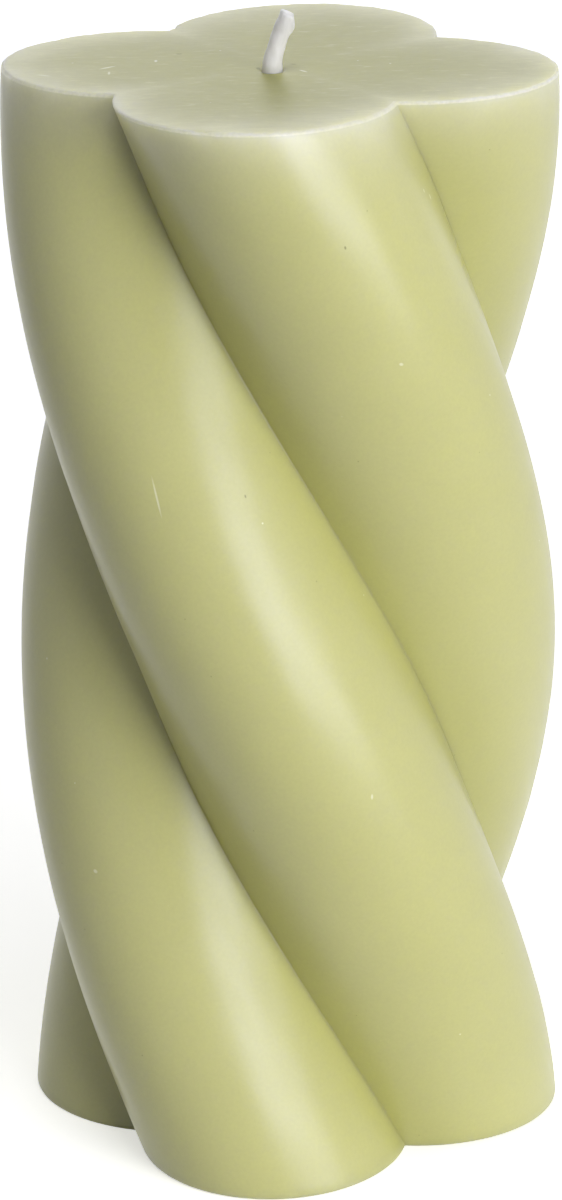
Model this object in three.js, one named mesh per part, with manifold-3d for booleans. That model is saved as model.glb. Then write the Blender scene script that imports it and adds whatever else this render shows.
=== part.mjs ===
// A spiral pillar candle: four round strands of wax, moulded as one body and twisted half a turn,
// with a cotton wick up the middle and a metal tab that anchors the wick in the base.
// Millimetres, +Z up. The origin is the middle of the base, and the front faces -Y.

import * as THREE from "three";
import { mergeVertices } from "three/addons/utils/BufferGeometryUtils.js";
import Module from "manifold-3d";

// Wax body
const bodyHeight = 150;
const strandCount = 4;
const strandOffset = 17.6; // from the candle's axis to the middle of a strand
const strandDepth = 20; // half a strand's width, measured outwards from the axis
const strandBreadth = 18.7; // half a strand's width, measured around the axis
const twist = 181; // degrees that the strands turn between the top and the base
const frontStrand = -100.3; // degrees from +X to the front strand, at the top
const waist = 0.4; // how far the sides draw in at half height
const creaseFillet = 1.5; // depth over which two strands flow into each other
const baseRound = 0.8;
const topRound = 0.4;

// Wick
const wickWidth = 2.3;
const wickFootWidth = 2.9; // wax-soaked foot, where the wick leaves the top face
const wickFootSpread = 1.8; // height over which the foot narrows to the wick
const wickTipRound = 0.6;
const wickStand = 7.7; // how far the wick's tip stands over the top face
const wickLean = 2.3; // how far the tip leans to the right of its foot
const wickLeanPower = 1.65; // over 1 keeps the foot upright and bends the tip most
const wickDrift = new THREE.Vector2(-0.9, -3.4); // from the axis to the wick, at the top face

// Wick tab
const tabWidth = 16;
const tabSheet = 0.4;
const tabDepth = 0.5; // how far the tab lies inside the base
const neckHeight = 6; // from the tab's upper side to the top of its neck
const neckBend = 0.8; // inner radius where the disc turns up into the neck

// Clearance between pieces, and how far a cutter runs past the face that it opens
const gap = 0.3;
const runOut = 1;

// Facets
const strandSides = 20;
const creaseCrowding = 0.6; // 0 spaces a strand's sides evenly, near 1 crowds them at the creases
const bodySteps = 40;
const roundSteps = 3;
const wickSides = 16;
const wickBodySteps = 8;
const wickStandSteps = 12;
const tabSides = 32;
const bendSteps = 2;

// Dependent sizes
const strandPitch = 2 * Math.PI / strandCount;
const bodyRadius = strandOffset + strandDepth;
const tabTop = tabDepth + tabSheet;
const neckTop = tabTop + neckHeight;
const neckBore = wickWidth / 2 + gap;
const neckRadius = neckBore + tabSheet;
const wickTop = bodyHeight + wickStand;

const wasm = await Module();
wasm.setup();

// Evenly spaced values from one end to the other, without the first.
function spread(from, to, steps) {
  return Array.from({ length: steps }, (_, index) => from + (to - from) * (index + 1) / steps);
}

// A quarter circle of the given radius as pairs of rise and inset, from the flat face outwards.
function roundedEdge(radius) {
  return [0, ...spread(0, Math.PI / 2, roundSteps)].map((angle) => ({
    rise: radius * (1 - Math.cos(angle)),
    inset: radius * (1 - Math.sin(angle)),
  }));
}

// Closes a stack of rings, lowest first and each anticlockwise from above, into one body.
function loft(rings) {
  const sides = rings[0].length;
  const points = rings.flat();
  const faces = [];
  for (let ring = 0; ring < rings.length - 1; ring += 1) {
    for (let side = 0; side < sides; side += 1) {
      const near = ring * sides + side;
      const next = ring * sides + (side + 1) % sides;
      faces.push(near, next, next + sides);
      faces.push(near, next + sides, near + sides);
    }
  }
  const lastRing = (rings.length - 1) * sides;
  const lowCentre = points.length;
  const highCentre = lowCentre + 1;
  points.push(ringCentre(rings[0]), ringCentre(rings.at(-1)));
  for (let side = 0; side < sides; side += 1) {
    const next = (side + 1) % sides;
    faces.push(lowCentre, next, side);
    faces.push(highCentre, lastRing + side, lastRing + next);
  }
  const geometry = new THREE.BufferGeometry().setFromPoints(points);
  geometry.setIndex(faces);
  return geometry;
}

function ringCentre(ring) {
  const sum = ring.reduce((total, point) => total.add(point), new THREE.Vector3());
  return sum.divideScalar(ring.length);
}

// A geometry as a solid that can be cut.
function toSolid(geometry) {
  const bare = geometry.clone();
  bare.deleteAttribute("normal");
  bare.deleteAttribute("uv");
  const merged = mergeVertices(bare, 1e-5);
  return new wasm.Manifold(new wasm.Mesh({
    numProp: 3,
    vertProperties: new Float32Array(merged.attributes.position.array),
    triVerts: new Uint32Array(merged.index.array),
  }));
}

function toGeometry(solid) {
  const mesh = solid.getMesh();
  const geometry = new THREE.BufferGeometry();
  geometry.setAttribute("position", new THREE.BufferAttribute(mesh.vertProperties, 3));
  geometry.setIndex(new THREE.BufferAttribute(mesh.triVerts, 1));
  geometry.computeVertexNormals();
  return geometry;
}

// From the candle's axis to the far side of one strand, in a direction counted from that
// strand's middle. The strand's section is an oval, drawn in all round by the inset.
function strandReach(angle, inset) {
  const depth = strandDepth - inset;
  const breadth = strandBreadth - inset;
  const square = (Math.cos(angle) / depth) ** 2 + (Math.sin(angle) / breadth) ** 2;
  const half = strandOffset * Math.cos(angle) / depth ** 2;
  const rest = (strandOffset / depth) ** 2 - 1;
  return (half + Math.sqrt(Math.max(half * half - square * rest, 0))) / square;
}

// Outline of the strands together: the strand that reaches farther, with the crease filled.
function outlineReach(angle, inset) {
  const turned = Math.abs(angle - Math.round(angle / strandPitch) * strandPitch);
  const near = strandReach(turned, inset);
  const next = strandReach(strandPitch - turned, inset);
  const meeting = Math.max(creaseFillet - (near - next), 0);
  return near + meeting ** 2 / (4 * creaseFillet);
}

// One level of the wax body. It turns with height and draws in towards half height.
function bodyRing(z, inset) {
  const down = 1 - z / bodyHeight;
  const turn = THREE.MathUtils.degToRad(frontStrand + twist * down);
  const draw = 1 - 4 * down * (1 - down) * waist / bodyRadius;
  const ring = [];
  for (let side = 0; side < strandCount * strandSides; side += 1) {
    const share = side / strandSides;
    const crowding = creaseCrowding * Math.sin(2 * Math.PI * share) / (2 * Math.PI);
    const angle = strandPitch * (share + crowding);
    const reach = draw * outlineReach(angle, inset);
    ring.push(new THREE.Vector3(reach * Math.cos(turn + angle), reach * Math.sin(turn + angle), z));
  }
  return ring;
}

function bodyBlank() {
  const base = roundedEdge(baseRound).map(({ rise, inset }) => bodyRing(rise, inset));
  const sides = spread(baseRound, bodyHeight - topRound, bodySteps).map((z) => bodyRing(z, 0));
  const top = roundedEdge(topRound).map(({ rise, inset }) => bodyRing(bodyHeight - rise, inset));
  return loft([...base, ...sides, ...top.reverse().slice(1)]);
}

// Middle of the wick at a height: on the axis in the tab's neck, drifting to its place in the
// top face, and leaning over above that.
function wickCentre(z) {
  const drift = THREE.MathUtils.smoothstep(z, neckTop, bodyHeight);
  const stand = Math.max(z - bodyHeight, 0) / wickStand;
  const lean = wickLean * stand ** wickLeanPower;
  return new THREE.Vector3(drift * wickDrift.x + lean, drift * wickDrift.y, z);
}

function wickRadius(z) {
  const foot = Math.exp(-(((z - bodyHeight) / wickFootSpread) ** 2));
  return (wickWidth + (wickFootWidth - wickWidth) * foot) / 2;
}

// One ring of the wick, square to the line that it follows.
function wickRing(z, growth) {
  const slope = 0.01;
  const along = wickCentre(z + slope).sub(wickCentre(z - slope)).normalize();
  const turn = new THREE.Quaternion().setFromUnitVectors(new THREE.Vector3(0, 0, 1), along);
  const ring = [];
  for (let side = 0; side < wickSides; side += 1) {
    const angle = 2 * Math.PI * side / wickSides;
    const radius = wickRadius(z) + growth;
    const point = new THREE.Vector3(radius * Math.cos(angle), radius * Math.sin(angle), 0);
    ring.push(point.applyQuaternion(turn).add(wickCentre(z)));
  }
  return ring;
}

function wickLevels(top) {
  const footStart = bodyHeight - 2 * wickFootSpread;
  const inBody = spread(neckTop, footStart, wickBodySteps);
  return [tabDepth, neckTop, ...inBody, ...spread(footStart, top, wickStandSteps)];
}

function wick() {
  const shaft = wickLevels(wickTop - wickTipRound).map((z) => wickRing(z, 0));
  const tip = roundedEdge(wickTipRound).map(({ rise, inset }) => wickRing(wickTop - rise, -inset));
  return loft([...shaft, ...tip.reverse().slice(1)]);
}

function wickBore() {
  return loft(wickLevels(bodyHeight + runOut).map((z) => wickRing(z, gap)));
}

// Upper side of the tab as a profile, from its rim inwards and up its neck, grown by a gap.
function traceTabTop(profile, growth) {
  const bendRadius = neckBend - growth;
  profile.lineTo(tabWidth / 2 + growth, tabTop + growth);
  profile.lineTo(neckRadius + neckBend, tabTop + growth);
  profile.absarc(neckRadius + neckBend, tabTop + neckBend, bendRadius, -Math.PI / 2, Math.PI, true);
  profile.lineTo(neckRadius + growth, neckTop + growth);
}

// Revolves a closed profile of radius and height about the candle's axis.
function revolve(profile) {
  const geometry = new THREE.LatheGeometry(profile.getPoints(bendSteps), tabSides);
  return toSolid(geometry.rotateX(Math.PI / 2));
}

// Pressed sheet-metal tab: a flat disc whose middle turns up into a neck around the wick.
function wickTab() {
  const profile = new THREE.Path();
  profile.moveTo(tabWidth / 2, tabDepth);
  traceTabTop(profile, 0);
  profile.lineTo(neckBore, neckTop);
  const mouthRadius = neckBend + tabSheet;
  profile.absarc(neckRadius + neckBend, tabTop + neckBend, mouthRadius, Math.PI, -Math.PI / 2, false);
  profile.lineTo(tabWidth / 2, tabDepth);
  return toGeometry(revolve(profile));
}

// Room for the tab in the base, open downwards.
function tabPocket() {
  const profile = new THREE.Path();
  profile.moveTo(0, -runOut);
  profile.lineTo(tabWidth / 2 + gap, -runOut);
  traceTabTop(profile, gap);
  profile.lineTo(0, neckTop + gap);
  profile.lineTo(0, -runOut);
  return revolve(profile);
}

function waxBody() {
  const blank = toSolid(bodyBlank());
  return toGeometry(blank.subtract(tabPocket()).subtract(toSolid(wickBore())));
}

function piece(name, geometry, look) {
  const mesh = new THREE.Mesh(geometry, new THREE.MeshStandardMaterial(look));
  mesh.name = name;
  return mesh;
}

const candle = new THREE.Group();
candle.add(piece("wax_body", waxBody(), { color: 0xc6c792, roughness: 0.45, metalness: 0 }));
candle.add(piece("wick", wick(), { color: 0xdedce2, roughness: 0.75, metalness: 0 }));
candle.add(piece("wick_tab", wickTab(), { color: 0xb4b6b8, roughness: 0.35, metalness: 1 }));

export default candle;
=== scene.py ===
import math
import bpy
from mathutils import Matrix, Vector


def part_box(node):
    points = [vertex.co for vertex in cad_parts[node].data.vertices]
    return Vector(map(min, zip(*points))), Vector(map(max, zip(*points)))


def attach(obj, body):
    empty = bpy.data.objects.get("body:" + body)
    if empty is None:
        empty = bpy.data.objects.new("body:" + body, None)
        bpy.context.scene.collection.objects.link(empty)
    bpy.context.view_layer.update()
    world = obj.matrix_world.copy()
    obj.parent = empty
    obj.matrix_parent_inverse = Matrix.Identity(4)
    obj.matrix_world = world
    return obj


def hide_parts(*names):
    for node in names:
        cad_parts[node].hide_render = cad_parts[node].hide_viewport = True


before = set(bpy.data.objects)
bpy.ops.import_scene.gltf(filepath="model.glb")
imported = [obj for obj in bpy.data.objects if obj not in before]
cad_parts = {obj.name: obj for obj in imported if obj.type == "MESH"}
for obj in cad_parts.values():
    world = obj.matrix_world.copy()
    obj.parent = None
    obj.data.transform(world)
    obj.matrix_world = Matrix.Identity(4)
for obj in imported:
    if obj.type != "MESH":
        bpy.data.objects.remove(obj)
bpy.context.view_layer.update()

from types import SimpleNamespace

import bmesh
import bpy
from mathutils import Quaternion, Vector, noise

# A spiral pillar candle: one moulding of pale green wax, twisted of four round strands,
# with a primed cotton wick and a pressed steel wick tab in its base.
# Sizes are real ones. MM turns millimetres into the metres that the frame uses.
MM = 0.001
_, wax_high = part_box("wax_body")
tab_low, tab_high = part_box("wick_tab")
wick_low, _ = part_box("wick")

# Wax
HEIGHT = wax_high.z
STRANDS = 4
STRAND_OFFSET = 17.6 * MM       # candle's axis to the middle of a strand
STRAND_DEPTH = 20 * MM          # half a strand's width, outwards from the axis
STRAND_BREADTH = 18.7 * MM      # half a strand's width, around the axis
TWIST = math.radians(181)       # turn of the strands from the top to the base
FRONT_STRAND = math.radians(-100.3)  # from +X to the front strand, at the top
WAIST = 0.4 * MM                # how far the sides draw in at half height
CREASE_FILLET = 0.4 * MM        # the mould's creases are nearly sharp
BASE_ROUND = 0.6 * MM
TOP_ROUND = 0.35 * MM
STRAND_COLUMNS = 112            # columns of faces across one strand
CREASE_CROWDING = 0.8           # columns stand closer towards the creases
SIDE_ROWS = 150
TOP_ROWS = 34
RING_CROWDING = 0.6             # rings of the top stand closer at the rim and at the wick
BASE_ROWS = 6
ROUND_ROWS = 4
BORE_ROWS = 8
BORE_END = 1 * MM               # the last row of the bore lies this far below its mouth
SAME_POINT = 0.0001 * MM        # points nearer to each other than this are one
ON_FACE = 0.001 * MM            # points nearer to a flat face than this lie on it

# Unevenness of the cast wax
SWELL_HEIGHT = 0.07 * MM        # slow swells of the sides
SWELL_WIDTH = 16 * MM
SWELL_CROWDING = 2.3            # a second set, half as high, stands so many times closer
SWELL_FROM_BASE = 4 * BASE_ROUND  # the swells reach their full height this far over the base
SWELL_FROM_WICK = 3 * MM        # and this far from the wick
RIM_WOBBLE = 0.09 * MM          # the trimmed rim isn't a clean line
RIM_WOBBLE_WIDTH = 1.7 * MM
CHIP_DEPTH = 1.1 * MM           # a factor on noise: the rim stands back 0.35 mm at most
CHIP_WIDTH = 2.6 * MM
CHIP_RARITY = 0.36              # noise above this is a chip
CHIP_PLACES = Vector((7, 3, 1))  # part of the noise that the chips are taken from
RIM_WEAR_WIDTH = 0.6 * MM       # wobble and chips fade over about this from the rim
WICK_HOLLOW = 0.06 * MM         # the wax sinks a little where it set against the wick
WICK_HOLLOW_WIDTH = 0.8 * MM

# Wick
WICK_RADIUS = 1.2 * MM
WICK_FOOT_RADIUS = 1.45 * MM
WICK_FOOT_SPREAD = 1.8 * MM
WICK_TIP_ROUND = 0.25 * MM
WICK_TIP_SLANT = 1.4            # slope of the cut on the right of the tip
WICK_CUT_START = 0.5 * MM       # from the wick's middle to where the slanted cut starts
WICK_FRAY = 0.18                # share by which the cut tip is wider
WICK_TIP_LENGTH = 3 * MM        # the cut and the fray set in over this
WICK_WOBBLE = 0.07 * MM         # the braid is a little uneven above the wax
WICK_WOBBLE_LENGTH = 1.3 * MM
WICK_WOBBLE_START = 1 * MM      # height over the wax at which it is fully uneven
WICK_SLOPE_STEP = 0.01 * MM     # the wick's direction is measured over this, up and down
WICK_STAND = 7.7 * MM
WICK_LEAN = 2.55 * MM
WICK_LEAN_POWER = 1.65
WICK_DRIFT = Vector((-0.9, -3.4)) * MM
WICK_COLUMNS = 72
WICK_BODY_ROWS = 200
WICK_STAND_ROWS = 70
WICK_FIT = 0.02 * MM            # wax stands this far off the wick
BRAID_RELIEF = 0.05 * MM        # plaits show faintly through the wax that soaks them
BRAID_PITCH = 3.2 * MM          # one plait's rise in a full turn about the wick
BRAID_PLAITS = 3

# Wick tab
TAB_RADIUS = (tab_high.x - tab_low.x) / 2
TAB_SHEET = 0.4 * MM
TAB_TOP = tab_low.z + TAB_SHEET
NECK_TOP = tab_high.z
NECK_BORE = 1.45 * MM
NECK_BEND = 0.8 * MM
TAB_EDGE_ROUND = 0.08 * MM
POCKET_GAP = 0.1 * MM
TAB_COLUMNS = 128
BEND_STEPS = 6

PITCH = 2 * math.pi / STRANDS
BODY_RADIUS = STRAND_OFFSET + STRAND_DEPTH
NECK_RADIUS = NECK_BORE + TAB_SHEET


def spread(start, end, steps):
    """Evenly spaced values from one end to the other, without the first."""
    return [start + (end - start) * (i + 1) / steps for i in range(steps)]


def crowd(share, amount):
    """Moves shares of a whole towards both of its ends."""
    return share - amount * math.sin(2 * math.pi * share) / (2 * math.pi)


def smooth_step(value, low, high):
    share = min(max((value - low) / (high - low), 0), 1)
    return share * share * (3 - 2 * share)


def rounded_edge(radius):
    """A quarter circle as pairs of rise and inset, from the side to the flat face."""
    turns = spread(math.pi / 2, 0, ROUND_ROWS)
    return [(radius * (1 - math.cos(t)), radius * (1 - math.sin(t))) for t in turns]


# Shape of the wax

def strand_reach(angle, inset):
    """From the axis to the far side of one strand, in a direction from that strand's middle."""
    depth = STRAND_DEPTH - inset
    breadth = STRAND_BREADTH - inset
    square = (math.cos(angle) / depth) ** 2 + (math.sin(angle) / breadth) ** 2
    half = STRAND_OFFSET * math.cos(angle) / depth ** 2
    rest = (STRAND_OFFSET / depth) ** 2 - 1
    return (half + math.sqrt(max(half * half - square * rest, 0))) / square


def outline_reach(angle, inset):
    """Outline of the strands together, with the creases filled."""
    turned = abs(angle - round(angle / PITCH) * PITCH)
    near = strand_reach(turned, inset)
    following = strand_reach(PITCH - turned, inset)
    meeting = max(CREASE_FILLET - (near - following), 0)
    return near + meeting ** 2 / (4 * CREASE_FILLET)


def strand_turn(z):
    return FRONT_STRAND + TWIST * (1 - z / HEIGHT)


def waist_draw(z):
    """The sides draw in towards half height."""
    down = 1 - z / HEIGHT
    return 1 - 4 * down * (1 - down) * WAIST / BODY_RADIUS


def wick_centre(z):
    """On the axis in the tab's neck, drifting to its place in the top, leaning over above it."""
    drift = smooth_step(z, NECK_TOP, HEIGHT)
    lean = WICK_LEAN * (max(z - HEIGHT, 0) / WICK_STAND) ** WICK_LEAN_POWER
    return Vector((drift * WICK_DRIFT.x + lean, drift * WICK_DRIFT.y, z))


def wick_radius(z):
    foot = math.exp(-((z - HEIGHT) / WICK_FOOT_SPREAD) ** 2)
    return WICK_RADIUS + (WICK_FOOT_RADIUS - WICK_RADIUS) * foot


# A ring is given as a function from the angle past the front strand to a point.

def outline_ring(z, inset=0.0):
    turn = strand_turn(z)
    draw = waist_draw(z)

    def point(angle):
        reach = draw * outline_reach(angle, inset)
        return Vector((reach * math.cos(turn + angle), reach * math.sin(turn + angle), z))
    return point


def round_ring(z, radius, middle=Vector((0, 0, 0))):
    turn = strand_turn(z)

    def point(angle):
        across = Vector((math.cos(turn + angle), math.sin(turn + angle), 0)) * radius
        return Vector((middle.x, middle.y, z)) + across
    return point


def blended_ring(first, last, share):
    return lambda angle: first(angle).lerp(last(angle), share)


# Building with rings

def start_ring(bm, angles, ring):
    """A closed ring of edges whose points remember which column they belong to."""
    column = bm.verts.layers.int.new("column")
    verts = bmesh.ops.create_circle(bm, segments=len(angles), radius=1 * MM)["verts"]
    for number, vert in enumerate(verts):
        vert[column] = number
        vert.co = ring(angles[number])
    return list(bm.edges)


def extrude_rings(bm, edges, angles, rings):
    """Extrudes a closed ring of edges over and over, each time onto the next ring."""
    column = bm.verts.layers.int["column"]
    for ring in rings:
        grown = bmesh.ops.extrude_edge_only(bm, edges=edges)["geom"]
        verts = {part for part in grown if isinstance(part, bmesh.types.BMVert)}
        edges = [
            part for part in grown
            if isinstance(part, bmesh.types.BMEdge) and verts.issuperset(part.verts)
        ]
        for vert in verts:
            vert.co = ring(angles[vert[column]])


def finish_piece(bm, name, material, replaced):
    """Closes the mesh and hands the piece to the frame."""
    bmesh.ops.remove_doubles(bm, verts=bm.verts, dist=SAME_POINT)
    bmesh.ops.recalc_face_normals(bm, faces=bm.faces)
    if "column" in bm.verts.layers.int:
        bm.verts.layers.int.remove(bm.verts.layers.int["column"])
    mesh = bpy.data.meshes.new(name)
    bm.to_mesh(mesh)
    bm.free()
    mesh.shade_smooth()
    mesh.materials.append(material)
    piece = bpy.data.objects.new(name, mesh)
    bpy.context.scene.collection.objects.link(piece)
    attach(piece, "root")
    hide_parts(replaced)


def strand_angles():
    shares = [i / STRAND_COLUMNS for i in range(STRANDS * STRAND_COLUMNS)]
    return [PITCH * crowd(share, -CREASE_CROWDING) for share in shares]


def strand_angle(co):
    """Angle about the axis from the front strand, at a point's own height, to the point."""
    return math.atan2(co.y, co.x) - strand_turn(co.z)


def rim_distance(co):
    """From a point of the sides or the top face to the rim between them."""
    inset = max(outline_reach(strand_angle(co), 0) - co.to_2d().length, 0)
    return math.hypot(HEIGHT - co.z, inset)


def rim_wear(co):
    """How far the trimmed rim stands back or proud at a point."""
    wobble = RIM_WOBBLE * noise.noise(co / RIM_WOBBLE_WIDTH)
    chip = max(noise.noise(co / CHIP_WIDTH + CHIP_PLACES) - CHIP_RARITY, 0)
    return wobble - CHIP_DEPTH * chip


def hollow(co):
    """How far the top face sinks at a point near the wick."""
    away = (co - wick_centre(HEIGHT)).to_2d().length - WICK_FOOT_RADIUS
    return WICK_HOLLOW * math.exp(-(max(away, 0) / WICK_HOLLOW_WIDTH) ** 2)


def weather(bm):
    """Slow swells of cast wax over the sides and the top, a worn rim and a hollow round the
    wick. It also notes on each point how far it lies from the rim, how near to a crease, and
    whether it is on the top face."""
    from_rim = bm.verts.layers.float.new("from_rim")
    in_crease = bm.verts.layers.float.new("in_crease")
    on_top = bm.verts.layers.float.new("on_top")
    for vert in bm.verts:
        co = vert.co.copy()
        on_face = co.z > HEIGHT - ON_FACE
        on_side = co.z > ON_FACE and co.to_2d().length > STRAND_OFFSET
        if not on_face and not on_side:
            vert[from_rim] = HEIGHT
            continue
        away = rim_distance(co)
        past = strand_angle(co) / PITCH
        vert[from_rim] = away
        vert[in_crease] = abs(past - round(past)) * 2
        vert[on_top] = 1 - smooth_step(HEIGHT - co.z, 0, TOP_ROUND)
        from_wick = (co - wick_centre(HEIGHT)).length
        clear_of_base = smooth_step(co.z, 0, SWELL_FROM_BASE)
        clear_of_wick = smooth_step(from_wick, WICK_FOOT_RADIUS, SWELL_FROM_WICK)
        swell = SWELL_HEIGHT * noise.noise(co / SWELL_WIDTH)
        swell += SWELL_HEIGHT / 2 * noise.noise(co / SWELL_WIDTH * SWELL_CROWDING)
        rim = rim_wear(co) * math.exp(-(away / RIM_WEAR_WIDTH) ** 2)
        vert.co = co + vert.normal * (swell * clear_of_base * clear_of_wick + rim)
        if on_face:
            vert.co.z -= hollow(co)


def wax_pillar():
    bm = bmesh.new()
    angles = strand_angles()
    low = BASE_ROUND
    high = HEIGHT - TOP_ROUND
    foot = start_ring(bm, angles, outline_ring(low))
    swept = bmesh.ops.spin(
        bm, geom=foot + list(bm.verts), cent=(0, 0, 0), axis=(0, 0, 1),
        dvec=(0, 0, (high - low) / SIDE_ROWS), angle=-TWIST * (high - low) / HEIGHT,
        steps=SIDE_ROWS, use_merge=False, use_normal_flip=False, use_duplicate=False,
    )
    shoulder = [part for part in swept["geom_last"] if isinstance(part, bmesh.types.BMEdge)]
    for vert in bm.verts:
        draw = waist_draw(vert.co.z) / waist_draw(low)
        vert.co.x *= draw
        vert.co.y *= draw

    rim = outline_ring(HEIGHT, TOP_ROUND)
    mouth = round_ring(HEIGHT, WICK_FOOT_RADIUS + WICK_FIT, wick_centre(HEIGHT))
    shares = [crowd(share, RING_CROWDING) for share in spread(0, 1, TOP_ROWS)]
    rings = [outline_ring(HEIGHT - rise, inset) for rise, inset in rounded_edge(TOP_ROUND)]
    rings += [blended_ring(rim, mouth, share) for share in shares]
    extrude_rings(bm, shoulder, angles, rings)

    sole = outline_ring(0, BASE_ROUND)
    pocket = round_ring(0, TAB_RADIUS + POCKET_GAP)
    rings = [outline_ring(rise, inset) for rise, inset in rounded_edge(BASE_ROUND)]
    rings += [blended_ring(sole, pocket, share) for share in spread(0, 1, BASE_ROWS)]
    rings += [
        round_ring(TAB_TOP + POCKET_GAP, TAB_RADIUS + POCKET_GAP),
        round_ring(TAB_TOP + POCKET_GAP, NECK_RADIUS + NECK_BEND),
        round_ring(TAB_TOP + NECK_BEND, NECK_RADIUS + POCKET_GAP),
        round_ring(NECK_TOP + POCKET_GAP, NECK_RADIUS + POCKET_GAP),
        round_ring(NECK_TOP + POCKET_GAP, WICK_RADIUS + WICK_FIT),
    ]
    bore = spread(NECK_TOP + POCKET_GAP, HEIGHT - BORE_END, BORE_ROWS)
    rings += [round_ring(z, wick_radius(z) + WICK_FIT, wick_centre(z)) for z in bore]
    rings.append(mouth)
    extrude_rings(bm, foot, angles, rings)
    bmesh.ops.remove_doubles(bm, verts=bm.verts, dist=SAME_POINT)
    bmesh.ops.recalc_face_normals(bm, faces=bm.faces)
    bm.normal_update()
    weather(bm)
    finish_piece(bm, "wax_pillar", candle_wax(), "wax_body")


def braid_relief(z, angle):
    """Three plaits that cross each other around the wick."""
    rise = 2 * math.pi * z / BRAID_PITCH
    one_way = math.cos(BRAID_PLAITS * angle + rise)
    other_way = math.cos(BRAID_PLAITS * angle - rise)
    return BRAID_RELIEF * (max(one_way, other_way) - 1)


def waxed_wick():
    def ring(z, radius):
        along = wick_centre(z + WICK_SLOPE_STEP) - wick_centre(z - WICK_SLOPE_STEP)
        tilt = Vector((0, 0, 1)).rotation_difference(along)
        middle = wick_centre(z)
        in_air = smooth_step(z, HEIGHT, HEIGHT + WICK_WOBBLE_START)
        near_tip = smooth_step(z, top - WICK_TIP_LENGTH, top)

        def point(angle):
            reach = radius + (braid_relief(z, angle) if radius else 0)
            across = Vector((reach * math.cos(angle), reach * math.sin(angle), 0))
            wobble = noise.noise((middle + across) / WICK_WOBBLE_LENGTH)
            across *= 1 + in_air * wobble * WICK_WOBBLE / WICK_RADIUS + WICK_FRAY * near_tip
            across.z = -WICK_TIP_SLANT * near_tip * max(across.x - WICK_CUT_START, 0)
            return middle + tilt @ across
        return point

    top = HEIGHT + WICK_STAND
    foot_start = HEIGHT - 2 * WICK_FOOT_SPREAD
    levels = spread(wick_low.z, foot_start, WICK_BODY_ROWS)
    levels += spread(foot_start, top - WICK_TIP_ROUND, WICK_STAND_ROWS)
    angles = [2 * math.pi * i / WICK_COLUMNS for i in range(WICK_COLUMNS)]
    bm = bmesh.new()
    start = start_ring(bm, angles, ring(wick_low.z, WICK_RADIUS))
    bmesh.ops.edgeloop_fill(bm, edges=start)
    rings = [ring(z, wick_radius(z)) for z in levels]
    rings += [
        ring(top - rise, wick_radius(top) - inset) for rise, inset in rounded_edge(WICK_TIP_ROUND)
    ]
    rings.append(ring(top, 0))
    extrude_rings(bm, start, angles, rings)
    finish_piece(bm, "waxed_wick", primed_cotton(), "wick")


def tab_profile():
    """Section of the pressed tab, as pairs of radius and height around its closed outline."""
    def arc(radius, height, size, start, end):
        turns = [start] + spread(start, end, BEND_STEPS)
        return [(radius + size * math.cos(t), height + size * math.sin(t)) for t in turns]

    quarter = math.pi / 2
    edge = TAB_EDGE_ROUND
    bend_at = NECK_RADIUS + NECK_BEND
    outline = arc(TAB_RADIUS - edge, tab_low.z + edge, edge, -quarter, 0)
    outline += arc(TAB_RADIUS - edge, TAB_TOP - edge, edge, 0, quarter)
    outline += arc(bend_at, TAB_TOP + NECK_BEND, NECK_BEND, -quarter, -2 * quarter)
    outline += arc(NECK_RADIUS - edge, NECK_TOP - edge, edge, 0, quarter)
    outline += arc(NECK_BORE + edge, NECK_TOP - edge, edge, quarter, 2 * quarter)
    outline += arc(bend_at, TAB_TOP + NECK_BEND, NECK_BEND + TAB_SHEET, -2 * quarter, -quarter)
    return outline


def wick_tab():
    bm = bmesh.new()
    verts = [bm.verts.new((radius, 0, height)) for radius, height in tab_profile()]
    edges = [bm.edges.new((verts[i - 1], verts[i])) for i in range(len(verts))]
    bmesh.ops.spin(
        bm, geom=verts + edges, cent=(0, 0, 0), axis=(0, 0, 1), dvec=(0, 0, 0),
        angle=2 * math.pi, steps=TAB_COLUMNS, use_merge=True, use_normal_flip=False,
        use_duplicate=False,
    )
    finish_piece(bm, "steel_wick_tab", tinned_steel(), "wick_tab")


# Materials

MIX_FACTOR, MIX_FIRST, MIX_SECOND, MIX_RESULT = 0, 6, 7, 2  # colour sockets of a Mix node


def srgb(code):
    """A colour written as in a paint program, as the linear light that nodes work in."""
    parts = [int(code[i:i + 2], 16) / 255 for i in (1, 3, 5)]
    return [p / 12.92 if p <= 0.04045 else ((p + 0.055) / 1.055) ** 2.4 for p in parts] + [1.0]


def add(tree, kind, settings=(), links=()):
    """A node. A setting goes to the socket of that name or number, or else to the node's own
    property, and a link feeds the socket of that name or number."""
    node = tree.nodes.new(kind)
    for key, value in dict(settings).items():
        if isinstance(key, int) or key in node.inputs:
            node.inputs[key].default_value = value
        else:
            setattr(node, key, value)
    for key, source in dict(links).items():
        tree.links.new(source, node.inputs[key])
    return node


def new_material(name):
    material = bpy.data.materials.new(name)
    material.use_nodes = True
    material.node_tree.nodes.clear()
    return material, material.node_tree


WAX_SIDE = "#cecd8e"
# painted shade: the creases are tinted darker and a deeper green
WAX_CREASE_SHADE = "#c3c27e"
# painted shade: the top face is tinted darker and greyer than the sides
WAX_TOP_SHADE = "#b8b773"
# partly bloom, partly painted glow of light through the thin edge under the rim
WAX_BLOOM_AND_GLOW = "#e8e7d4"
# partly bloom, partly painted glow along the top's rim; also the colour of the pale scrapes
WAX_TOP_BLOOM_GLOW_AND_SCRAPES = "#fbfadb"
WAX_RIM = "#f5f3d6"
WAX_NICK = "#e9e9c8"
# dark pits and bubbles, and the painted shadow of the hollow by the wick
WAX_PIT_AND_SHADOW = "#9a9a5c"
WAX_SHINE = "#e1e3ff"           # cooler than white, because the photographed highlights are
COTTON = "#e6e4ef"
COTTON_FIBRE = "#f4f2fd"
STEEL = "#b2b3b4"
STEEL_BLOOM = "#c9c8c5"

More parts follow.
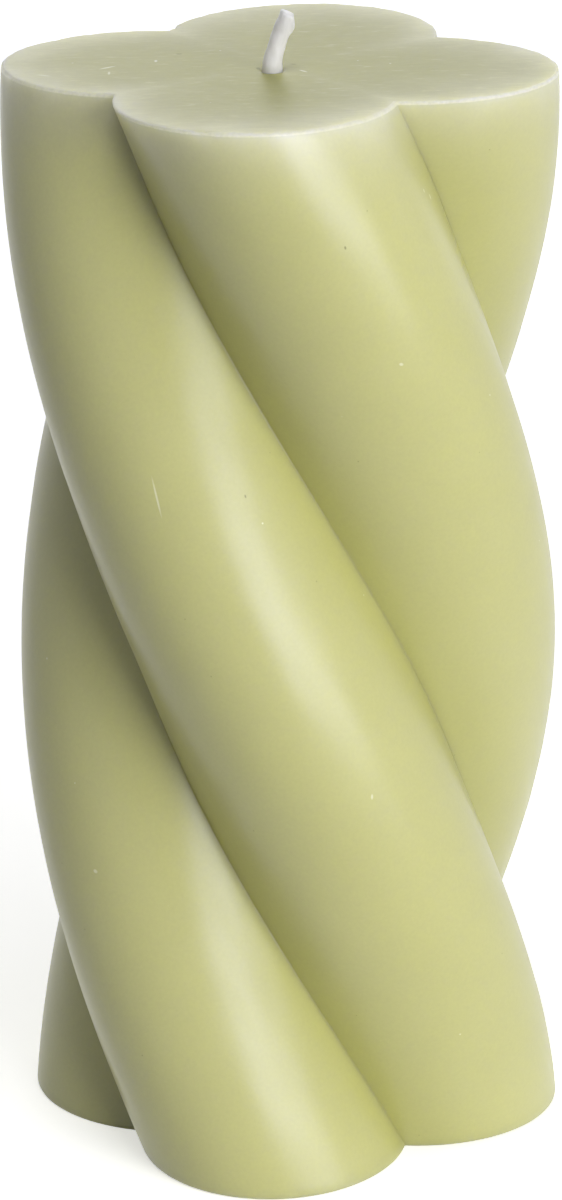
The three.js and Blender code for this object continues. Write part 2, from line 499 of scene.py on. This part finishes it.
# Patterns of the wax
CLOUD_WIDTH = 12 * MM           # patches of dye
GRAIN_WIDTH = 0.5 * MM          # powdery grain of set wax, whose real crystals are finer
STREAK_WIDTH = 1.6 * MM         # streaks left by the mould, along the strands
SCRAPE_WIDTH = 0.9 * MM         # short scrapes left by the knife that trimmed the top
# The pale band along the rim is partly bloom and partly painted glow.
SIDE_BLOOM_AND_GLOW_WIDTH = 3.5 * MM
TOP_BLOOM_AND_GLOW_WIDTH = 7 * MM
FLECK_SPACING = 7 * MM          # specks of dust
BUBBLE_SPACING = 5 * MM         # tiny bubbles

# Marks left by handling, and one painted shadow, each from one point to another (mm) and so wide
# (mm).
NICKS = [
    ((-23.9, -0.8, 150), (-21.9, 0.8, 150), 0.5),     # scratched near the left of the rim
    ((-22.6, -4.0, 150), (-22.6, -2.4, 150), 0.4),
    ((-16.5, 2.8, 150), (-16.5, 3.8, 150), 0.5),
    ((-32.2, -3.4, 150), (-30.4, -4.4, 150), 0.7),
    ((2.8, -3.1, 150), (3.7, -4.3, 150), 0.5),        # beside the wick
    ((18.5, -24.3, 138.9), (18.5, -24.3, 138.5), 0.4),
    ((19.4, -23.0, 138.2), (19.4, -23.0, 137.2), 0.4),
    ((15.0, -34.0, 118.3), (15.3, -34.0, 118.2), 0.5),
    ((-26.9, -24.0, 43.8), (-26.7, -24.1, 43.7), 0.6),
    ((10.8, -35.2, 58.8), (10.8, -35.3, 58.3), 0.4),
    ((-17.6, -31.3, 103.0), (-16.3, -32.7, 97.3), 0.35),
]
# Dark pits, and first a painted shadow: the shade of the hollow at the wick's foot.
PITS_AND_SHADOWS = [
    ((-2.8, -1.6, 149.9), (-2.6, -2.4, 149.9), 0.8),  # painted shadow of the hollow at the wick's foot
    ((1.7, 0.4, 150), (2.2, 0.2, 150), 0.5),
    ((-13.7, 7.3, 150), (-13.2, 7.3, 150), 0.6),
    ((8.0, -36.4, 134.8), (8.1, -36.5, 134.5), 0.35),
    ((-5.4, -31.3, 99.9), (-5.3, -31.4, 99.6), 0.3),
]


def mark(tree, place, start, end, width):
    """1 along the middle of a small mark, falling to 0 at its edge."""
    start, end = Vector(start) * MM, Vector(end) * MM
    along = end - start
    spot = add(tree, "ShaderNodeMapping", {
        "vector_type": "TEXTURE",
        "Location": (start + end) / 2,
        "Rotation": along.to_track_quat("Z", "Y").to_euler(),
        "Scale": (width / 2 * MM, width / 2 * MM, (along.length + width * MM) / 2),
    }, {"Vector": place})
    fade = add(tree, "ShaderNodeTexGradient", {"gradient_type": "SPHERICAL"},
               {"Vector": spot.outputs[0]})
    return add(tree, "ShaderNodeMapRange", {"From Max": 0.5},
               {"Value": fade.outputs["Fac"]}).outputs[0]


def all_marks(tree, place, marks):
    """The marks of a list together."""
    both = mark(tree, place, *marks[0])
    for one in marks[1:]:
        both = add(tree, "ShaderNodeMath", {"operation": "MAXIMUM"},
                   {0: both, 1: mark(tree, place, *one)}).outputs[0]
    return both


def scattered(tree, place, spacing, edge, middle, strength=1.0):
    """Small round spots, one in each cell of that spacing, which fade from middle to edge."""
    cell = add(tree, "ShaderNodeTexVoronoi", {"Scale": 1 / spacing}, {"Vector": place})
    return add(tree, "ShaderNodeMapRange", {
        "From Min": edge / spacing, "From Max": middle / spacing, "To Max": strength,
    }, {"Value": cell.outputs["Distance"]}).outputs[0]


def wax_inputs(tree):
    """What the looks of the wax are made from: the place, the values that weather() notes on
    each point, and noise for each pattern."""
    place = add(tree, "ShaderNodeTexCoord").outputs["Object"]
    height = add(tree, "ShaderNodeSeparateXYZ", {}, {0: place}).outputs["Z"]
    unturn = add(tree, "ShaderNodeMath", {"operation": "MULTIPLY", 1: TWIST / HEIGHT}, {0: height})
    # Along this direction the strands run straight up, so a stretched pattern follows them.
    strand = add(tree, "ShaderNodeVectorRotate", {"rotation_type": "Z_AXIS"},
                 {"Vector": place, "Angle": unturn.outputs[0]}).outputs[0]
    # A streak is seven times as long as it is wide, and a scrape three times.
    mould = add(tree, "ShaderNodeMapping", {"Scale": (1, 1, 0.14)}, {"Vector": strand})
    knife = add(tree, "ShaderNodeMapping", {"Scale": (0.35, 1, 1)}, {"Vector": place})
    found = {
        name: add(tree, "ShaderNodeAttribute", {"attribute_name": name}).outputs["Fac"]
        for name in ("from_rim", "in_crease", "on_top")
    }
    for name, width, detail, along in (
        ("cloud", CLOUD_WIDTH, 4.0, strand), ("grain", GRAIN_WIDTH, 2.0, place),
        ("streak", STREAK_WIDTH, 1.0, mould.outputs[0]),
        ("scrape", SCRAPE_WIDTH, 3.0, knife.outputs[0]),
    ):
        found[name] = add(tree, "ShaderNodeTexNoise", {"Scale": 1 / width, "Detail": detail},
                          {"Vector": along}).outputs["Fac"]
    return SimpleNamespace(place=place, **found)


def rim_bloom_and_glow(tree, wax):
    """Shares of the pale, patchy band along the rim, partly bloom and partly painted glow of light
    through the thin edge: on the sides, and wider on the top.
    """
    width = add(tree, "ShaderNodeMapRange", {
        "To Min": -SIDE_BLOOM_AND_GLOW_WIDTH, "To Max": -TOP_BLOOM_AND_GLOW_WIDTH,
    }, {"Value": wax.on_top})
    fade = add(tree, "ShaderNodeMath", {"operation": "DIVIDE"},
               {0: wax.from_rim, 1: width.outputs[0]})
    even = add(tree, "ShaderNodeMath", {"operation": "EXPONENT"}, {0: fade.outputs[0]})
    patchy = add(tree, "ShaderNodeMapRange", {
        "From Min": 0.3, "From Max": 0.7, "To Min": 0.65, "To Max": 1.0,
    }, {"Value": wax.cloud})
    # Partly bloom, partly painted glow: pale at the rim, patchy, fading away from it.
    bloom = add(tree, "ShaderNodeMath", {"operation": "MULTIPLY"},
                {0: even.outputs[0], 1: patchy.outputs[0]}).outputs[0]
    top = add(tree, "ShaderNodeMath", {"operation": "MULTIPLY"},
              {0: bloom, 1: wax.on_top}).outputs[0]
    side = add(tree, "ShaderNodeMath", {"operation": "SUBTRACT"}, {0: bloom, 1: top}).outputs[0]
    return side, top


def wax_tints(tree, wax):
    """Green with painted shade in the creases, and every paler or darker part laid over it in
    turn, painted shade and glow among them.
    """
    # Painted shade: share of the darker crease tint, rising towards each crease.
    crease = add(tree, "ShaderNodeMapRange", {
        "From Min": 0.45, "From Max": 1.0, "interpolation_type": "SMOOTHSTEP",
    }, {"Value": wax.in_crease}).outputs[0]
    # Painted glow along the rim, partly bloom.
    side_bloom_and_glow, top_bloom_and_glow = rim_bloom_and_glow(tree, wax)
    # The rim is scuffed over half a millimetre, more or less with the grain.
    scuffed = add(tree, "ShaderNodeMapRange", {"From Min": 0.55 * MM, "From Max": 0.4 * MM},
                  {"Value": wax.from_rim})
    broken = add(tree, "ShaderNodeMapRange", {
        "From Min": 0.3, "From Max": 0.6, "To Min": 0.65, "To Max": 1.0,
    }, {"Value": wax.grain})
    scuff = add(tree, "ShaderNodeMath", {"operation": "MULTIPLY"},
                {0: scuffed.outputs[0], 1: broken.outputs[0]}).outputs[0]
    pale = add(tree, "ShaderNodeMapRange", {
        "From Min": 0.62, "From Max": 0.76, "To Max": 0.15,
    }, {"Value": wax.scrape})
    scrapes = add(tree, "ShaderNodeMath", {"operation": "MULTIPLY"},
                  {0: pale.outputs[0], 1: wax.on_top}).outputs[0]
    flecks = scattered(tree, wax.place, FLECK_SPACING, 0.18 * MM, 0.08 * MM)
    bubbles = scattered(tree, wax.place, BUBBLE_SPACING, 0.14 * MM, 0.05 * MM, 0.6)

    # The sides' green, with painted shade laid into the creases.
    colour = add(tree, "ShaderNodeMix", {
        "data_type": "RGBA", MIX_FIRST: srgb(WAX_SIDE), MIX_SECOND: srgb(WAX_CREASE_SHADE),
    }, {MIX_FACTOR: crease}).outputs[MIX_RESULT]
    # Laid on in turn: painted shade on the top, a rim band of bloom and painted glow, then real
    # scrapes, scuffs, specks and marks.
    for tint, share in (
        (WAX_TOP_SHADE, wax.on_top), (WAX_BLOOM_AND_GLOW, side_bloom_and_glow), (WAX_TOP_BLOOM_GLOW_AND_SCRAPES, top_bloom_and_glow),
        (WAX_TOP_BLOOM_GLOW_AND_SCRAPES, scrapes), (WAX_RIM, scuff), (WAX_NICK, flecks), (WAX_PIT_AND_SHADOW, bubbles),
        (WAX_NICK, all_marks(tree, wax.place, NICKS)),
        (WAX_PIT_AND_SHADOW, all_marks(tree, wax.place, PITS_AND_SHADOWS)),
    ):
        colour = add(tree, "ShaderNodeMix", {"data_type": "RGBA", MIX_SECOND: srgb(tint)},
                     {MIX_FACTOR: share, MIX_FIRST: colour}).outputs[MIX_RESULT]
    return colour


def wax_colour(tree, wax):
    """The tints, a few hundredths lighter or darker with the dye, the grain and the scrapes."""
    cloudy = add(tree, "ShaderNodeMapRange", {"To Min": 0.97, "To Max": 1.03},
                 {"Value": wax.cloud})
    powdery = add(tree, "ShaderNodeMapRange", {"To Min": 0.96, "To Max": 1.04},
                  {"Value": wax.grain})
    uneven = add(tree, "ShaderNodeMath", {"operation": "MULTIPLY"},
                 {0: cloudy.outputs[0], 1: powdery.outputs[0]})
    scrape = add(tree, "ShaderNodeMapRange", {
        "From Min": 0.3, "From Max": 0.7, "To Min": -0.03, "To Max": 0.03,
    }, {"Value": wax.scrape})
    scraped = add(tree, "ShaderNodeMath", {"operation": "MULTIPLY_ADD", 2: 1.0},
                  {0: scrape.outputs[0], 1: wax.on_top})
    shade = add(tree, "ShaderNodeMath", {"operation": "MULTIPLY"},
                {0: uneven.outputs[0], 1: scraped.outputs[0]})
    return add(tree, "ShaderNodeVectorMath", {"operation": "SCALE"},
               {0: wax_tints(tree, wax), "Scale": shade.outputs[0]}).outputs[0]


def candle_wax():
    """Pillar wax, dyed pale green and cast smooth. Light goes millimetres deep, so edges glow
    and creases turn a deeper green, deepened more by painted shade, under a soft satin shine
    that breaks up in faint streaks. The trimmed top is nearly matt, faintly scraped and painted
    darker as shade, with a pale band along its rim that is partly bloom and partly painted glow,
    and the rim itself is scuffed nearly white."""
    material, tree = new_material("dyed_candle_wax")
    wax = wax_inputs(tree)
    shine = add(tree, "ShaderNodeMapRange", {"To Min": 0.6, "To Max": 0.15},
                {"Value": wax.on_top}).outputs[0]
    satin = add(tree, "ShaderNodeMapRange", {
        "From Min": 0.3, "From Max": 0.7, "To Min": 0.285, "To Max": 0.335,
    }, {"Value": wax.streak})
    dull = add(tree, "ShaderNodeMath", {"operation": "MULTIPLY_ADD", 1: 0.2},
               {0: wax.on_top, 2: satin.outputs[0]}).outputs[0]

    # Relief in millimetres.
    ripple = add(tree, "ShaderNodeMath", {"operation": "MULTIPLY", 1: 0.01}, {0: wax.streak})
    relief = add(tree, "ShaderNodeMath", {"operation": "MULTIPLY_ADD", 1: 0.005},
                 {0: wax.grain, 2: ripple.outputs[0]})
    bump = add(tree, "ShaderNodeBump", {"Strength": 1.0, "Distance": MM},
               {"Height": relief.outputs[0]})
    shader = add(tree, "ShaderNodeBsdfPrincipled", {
        "IOR": 1.44,
        "Specular Tint": srgb(WAX_SHINE),
        "Subsurface Weight": 1.0,
        "Subsurface Radius": (1.0, 0.97, 0.45),  # blue light goes less than half as deep
        "Subsurface Scale": 5 * MM,
    }, {
        "Base Color": wax_colour(tree, wax), "Roughness": dull, "Specular IOR Level": shine,
        "Normal": bump.outputs[0],
    })
    add(tree, "ShaderNodeOutputMaterial", {}, {"Surface": shader.outputs["BSDF"]})
    return material


def primed_cotton():
    """Braided cotton soaked in clear wax, which leaves it white, smooth and faintly shiny."""
    material, tree = new_material("primed_cotton_wick")
    place = add(tree, "ShaderNodeTexCoord").outputs["Object"]
    # Fibres show as fine streaks along the wick, drawn at 0.25 mm.
    long_way = add(tree, "ShaderNodeMapping", {"Scale": (1, 1, 0.2)}, {"Vector": place})
    fibre = add(tree, "ShaderNodeTexNoise", {"Scale": 1 / (0.25 * MM), "Detail": 2.0},
                {"Vector": long_way.outputs[0]}).outputs["Fac"]
    colour = add(tree, "ShaderNodeMix", {
        "data_type": "RGBA", MIX_FIRST: srgb(COTTON), MIX_SECOND: srgb(COTTON_FIBRE),
    }, {MIX_FACTOR: fibre}).outputs[MIX_RESULT]
    bump = add(tree, "ShaderNodeBump", {"Strength": 0.3, "Distance": 0.03 * MM}, {"Height": fibre})
    shader = add(tree, "ShaderNodeBsdfPrincipled", {
        "Roughness": 0.5,
        "IOR": 1.44,
        "Subsurface Weight": 1.0,
        "Subsurface Radius": (1.0, 1.0, 1.0),
        "Subsurface Scale": 3 * MM,
    }, {"Base Color": colour, "Normal": bump.outputs[0]})
    add(tree, "ShaderNodeOutputMaterial", {}, {"Surface": shader.outputs["BSDF"]})
    return material


def tinned_steel():
    """Thin steel sheet with a tin coat, rolled and then pressed: pale grey metal with a soft
    gloss, fine rolling lines across it and a cloudy bloom."""
    material, tree = new_material("tinned_steel_sheet")
    place = add(tree, "ShaderNodeTexCoord").outputs["Object"]
    # Rolling lines, drawn at 0.3 mm where the real ones are finer.
    across = add(tree, "ShaderNodeMapping", {"Scale": (1, 0.03, 0.03)}, {"Vector": place})
    lines = add(tree, "ShaderNodeTexNoise", {"Scale": 1 / (0.3 * MM), "Detail": 3.0},
                {"Vector": across.outputs[0]}).outputs["Fac"]
    cloud = add(tree, "ShaderNodeTexNoise", {"Scale": 1 / (3 * MM), "Detail": 2.0},
                {"Vector": place}).outputs["Fac"]
    colour = add(tree, "ShaderNodeMix", {
        "data_type": "RGBA", MIX_FIRST: srgb(STEEL), MIX_SECOND: srgb(STEEL_BLOOM),
    }, {MIX_FACTOR: cloud}).outputs[MIX_RESULT]
    rough = add(tree, "ShaderNodeMapRange", {"To Min": 0.26, "To Max": 0.46},
                {"Value": lines}).outputs[0]
    bump = add(tree, "ShaderNodeBump", {"Strength": 0.25, "Distance": 0.01 * MM},
               {"Height": lines})
    shader = add(tree, "ShaderNodeBsdfPrincipled", {"Metallic": 1.0},
                 {"Base Color": colour, "Roughness": rough, "Normal": bump.outputs[0]})
    add(tree, "ShaderNodeOutputMaterial", {}, {"Surface": shader.outputs["BSDF"]})
    return material


wax_pillar()
waxed_wick()
wick_tab()

# Studio

FLOOR_RADIUS = 0.75             # it ends within the lamps' light, and white goes on beyond
FLOOR_LIFT = 0.58               # glow that brings the lit sheet up to white where it is seen
LAMP_DISTANCE = 1.2
LAMPS = [
    # name, azimuth and elevation in degrees, width and height in metres, watts
    ("key_low", 41, 3, 0.95, 0.25, 6.0),
    ("key_high", 30, 17, 0.6, 0.4, 5.0),
    ("top", 0, 75, 0.6, 0.6, 5.0),
    ("back", 180, 15, 0.6, 0.6, 3.2),
    ("back_left", -146, 15, 0.8, 0.6, 1.8),
    ("back_right", 140, 15, 0.6, 0.6, 1.2),
]


def white_where_seen(tree):
    """1 for rays of the camera and for reflections and clear looks through, otherwise 0."""
    path = add(tree, "ShaderNodeLightPath").outputs
    mirrored = add(tree, "ShaderNodeMath", {"operation": "MAXIMUM"},
                   {0: path["Is Glossy Ray"], 1: path["Is Transmission Ray"]}).outputs[0]
    return add(tree, "ShaderNodeMath", {"operation": "MAXIMUM"},
               {0: path["Is Camera Ray"], 1: mirrored}).outputs[0]


def pale_floor():
    """Matt white sheet. It is lifted to white where it is seen, and keeps the shadow."""
    material, tree = new_material("pale_studio_floor")
    sheet = add(tree, "ShaderNodeBsdfDiffuse", {"Color": srgb("#f4f4f4")})
    lift = add(tree, "ShaderNodeMath", {"operation": "MULTIPLY", 1: FLOOR_LIFT},
               {0: white_where_seen(tree)})
    glow = add(tree, "ShaderNodeEmission", {"Color": srgb("#ffffff")},
               {"Strength": lift.outputs[0]})
    both = add(tree, "ShaderNodeAddShader", {}, {0: sheet.outputs[0], 1: glow.outputs[0]})
    add(tree, "ShaderNodeOutputMaterial", {}, {"Surface": both.outputs[0]})
    return material


def studio_floor():
    bm = bmesh.new()
    bmesh.ops.create_circle(bm, cap_ends=True, segments=128, radius=FLOOR_RADIUS)
    mesh = bpy.data.meshes.new("floor")
    bm.to_mesh(mesh)
    bm.free()
    mesh.materials.append(pale_floor())
    plane = bpy.data.objects.new("floor", mesh)
    bpy.context.scene.collection.objects.link(plane)


def studio_world():
    """White where the camera or a reflection sees it, and dark as a lamp."""
    world = bpy.data.worlds.new("studio")
    world.use_nodes = True
    tree = world.node_tree
    tree.nodes.clear()
    fill = add(tree, "ShaderNodeBackground", {"Color": srgb("#ffffff"), "Strength": 0.02})
    white = add(tree, "ShaderNodeBackground", {"Color": srgb("#ffffff"), "Strength": 1.0})
    mix = add(tree, "ShaderNodeMixShader", {},
              {0: white_where_seen(tree), 1: fill.outputs[0], 2: white.outputs[0]})
    add(tree, "ShaderNodeOutputWorld", {}, {"Surface": mix.outputs[0]})
    bpy.context.scene.world = world


def softbox(name, azimuth, elevation, width, height, watts):
    """An area lamp aimed at the candle's middle. Azimuth 0 is the camera's side, and
    positive azimuths are to the right."""
    lamp = bpy.data.lights.new(name, "AREA")
    lamp.shape = "RECTANGLE"
    lamp.size = width
    lamp.size_y = height
    lamp.energy = watts
    box = bpy.data.objects.new(name, lamp)
    a, e = math.radians(azimuth), math.radians(elevation)
    away = Vector((math.sin(a) * math.cos(e), -math.cos(a) * math.cos(e), math.sin(e)))
    target = Vector((0, 0, HEIGHT / 2))
    box.location = target + away * LAMP_DISTANCE
    box.rotation_euler = away.to_track_quat("Z", "Y").to_euler()
    bpy.context.scene.collection.objects.link(box)


studio_floor()
studio_world()
for lamp in LAMPS:
    softbox(*lamp)

# Camera: where the photograph's outline says it stood
CAMERA_DISTANCE = 664.8 * MM
CAMERA_ELEVATION = math.radians(19.71)
CAMERA_ROLL = math.radians(-0.956)
CAMERA_TARGET = Vector((-0.886, 0, 73.996)) * MM
FOCAL_PIXELS = 4780.6           # focal length in pixels of the 1200 pixel high frame
FRAME_HEIGHT = 1200
SENSOR = 36.0


def add_camera():
    data = bpy.data.cameras.new("camera")
    data.sensor_fit = "VERTICAL"
    data.sensor_height = SENSOR
    data.lens = FOCAL_PIXELS / FRAME_HEIGHT * SENSOR
    data.clip_start = 0.01
    data.clip_end = 20
    camera = bpy.data.objects.new("camera", data)
    e = CAMERA_ELEVATION
    back = Vector((0, -math.cos(e), math.sin(e)))
    camera.location = CAMERA_TARGET + back * CAMERA_DISTANCE
    aim = back.to_track_quat("Z", "Y")
    camera.rotation_mode = "QUATERNION"
    camera.rotation_quaternion = Quaternion(back, CAMERA_ROLL) @ aim
    bpy.context.scene.collection.objects.link(camera)
    bpy.context.scene.camera = camera


add_camera()
bpy.context.scene.view_settings.view_transform = "Standard"
